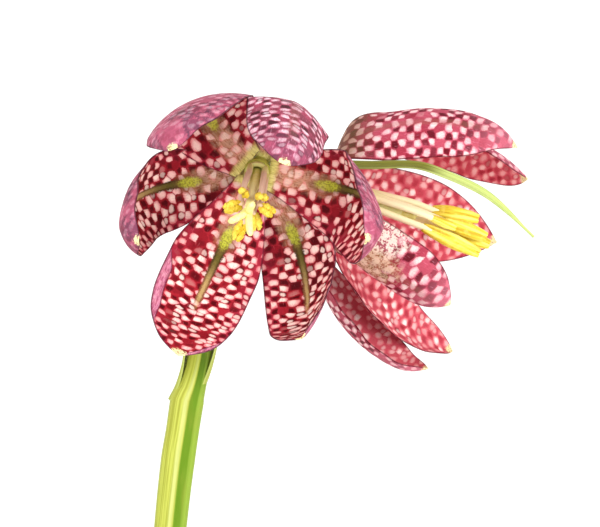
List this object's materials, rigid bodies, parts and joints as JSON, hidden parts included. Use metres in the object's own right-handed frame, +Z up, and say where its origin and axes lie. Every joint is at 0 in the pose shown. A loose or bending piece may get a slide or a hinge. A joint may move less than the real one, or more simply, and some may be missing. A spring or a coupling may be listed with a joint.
{
  "type": "potted snake's head fritillary",
  "caption": "Bulb plant in a plain clay pot: a flattened stem with narrow leaves carries nodding bell flowers with chequered petals.",
  "frame": {"origin": "centre of the pot's underside, on the surface the pot stands on", "axes": "+Z up along the plant; +X to the right and -Y towards the viewer, as the flowers are seen in the picture"},
  "size_m": [0.173, 0.1254, 0.2852],
  "materials": {
    "clay": "matte unglazed terracotta",
    "soil": "crumbly damp potting compost",
    "bulb": "smooth waxy cream bulb scale",
    "stem": "satin yellow-green stem",
    "leaf": "satin narrow green leaf",
    "petal": "satin petal chequered in crimson, maroon and pink-white",
    "stamen": "matte yellow pollen on pale filaments",
    "pistil": "satin pale yellow-green"
  },
  "bodies": {
    "root": {"pot": "clay", "soil": "soil", "bulb": "bulb", "stem": "stem", "leaf_lower_left": "leaf", "leaf_lower_right": "leaf", "leaf_lower_back": "leaf", "leaf_lower_front": "leaf", "leaf_middle_left": "leaf", "leaf_middle_right": "leaf", "leaf_upper": "leaf", "front_flower_stamens": "stamen", "front_flower_pistil": "pistil", "front_flower_petal_1": "petal", "front_flower_petal_2": "petal", "front_flower_petal_3": "petal", "front_flower_petal_4": "petal", "front_flower_petal_5": "petal", "front_flower_petal_6": "petal", "side_flower_stamens": "stamen", "side_flower_pistil": "pistil", "side_flower_petal_1": "petal", "side_flower_petal_2": "petal", "side_flower_petal_3": "petal", "side_flower_petal_4": "petal", "side_flower_petal_5": "petal", "side_flower_petal_6": "petal"}
  },
  "joints": []
}
